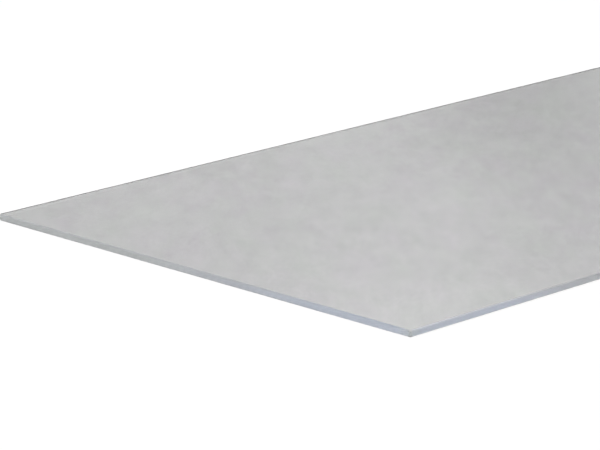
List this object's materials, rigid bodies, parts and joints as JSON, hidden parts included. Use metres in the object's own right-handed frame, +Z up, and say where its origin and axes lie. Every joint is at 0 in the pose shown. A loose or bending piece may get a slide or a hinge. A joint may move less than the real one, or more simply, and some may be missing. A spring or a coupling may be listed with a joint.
{
  "type": "quartz glass plate",
  "caption": "Flat rectangular plate of clear fused quartz glass, with straight ground edges and finely bevelled rims.",
  "frame": {"origin": "middle of the underside, on the surface that the plate lies on", "axes": "+X along the long side, +Y along the short side, +Z up through the thickness"},
  "size_m": [0.5, 0.25, 0.003],
  "materials": {
    "clear_fused_quartz": "clear polished faces with a faintly cloudy sheen, fine-ground edges"
  },
  "bodies": {
    "root": {"quartz_plate": "clear_fused_quartz"}
  },
  "joints": []
}
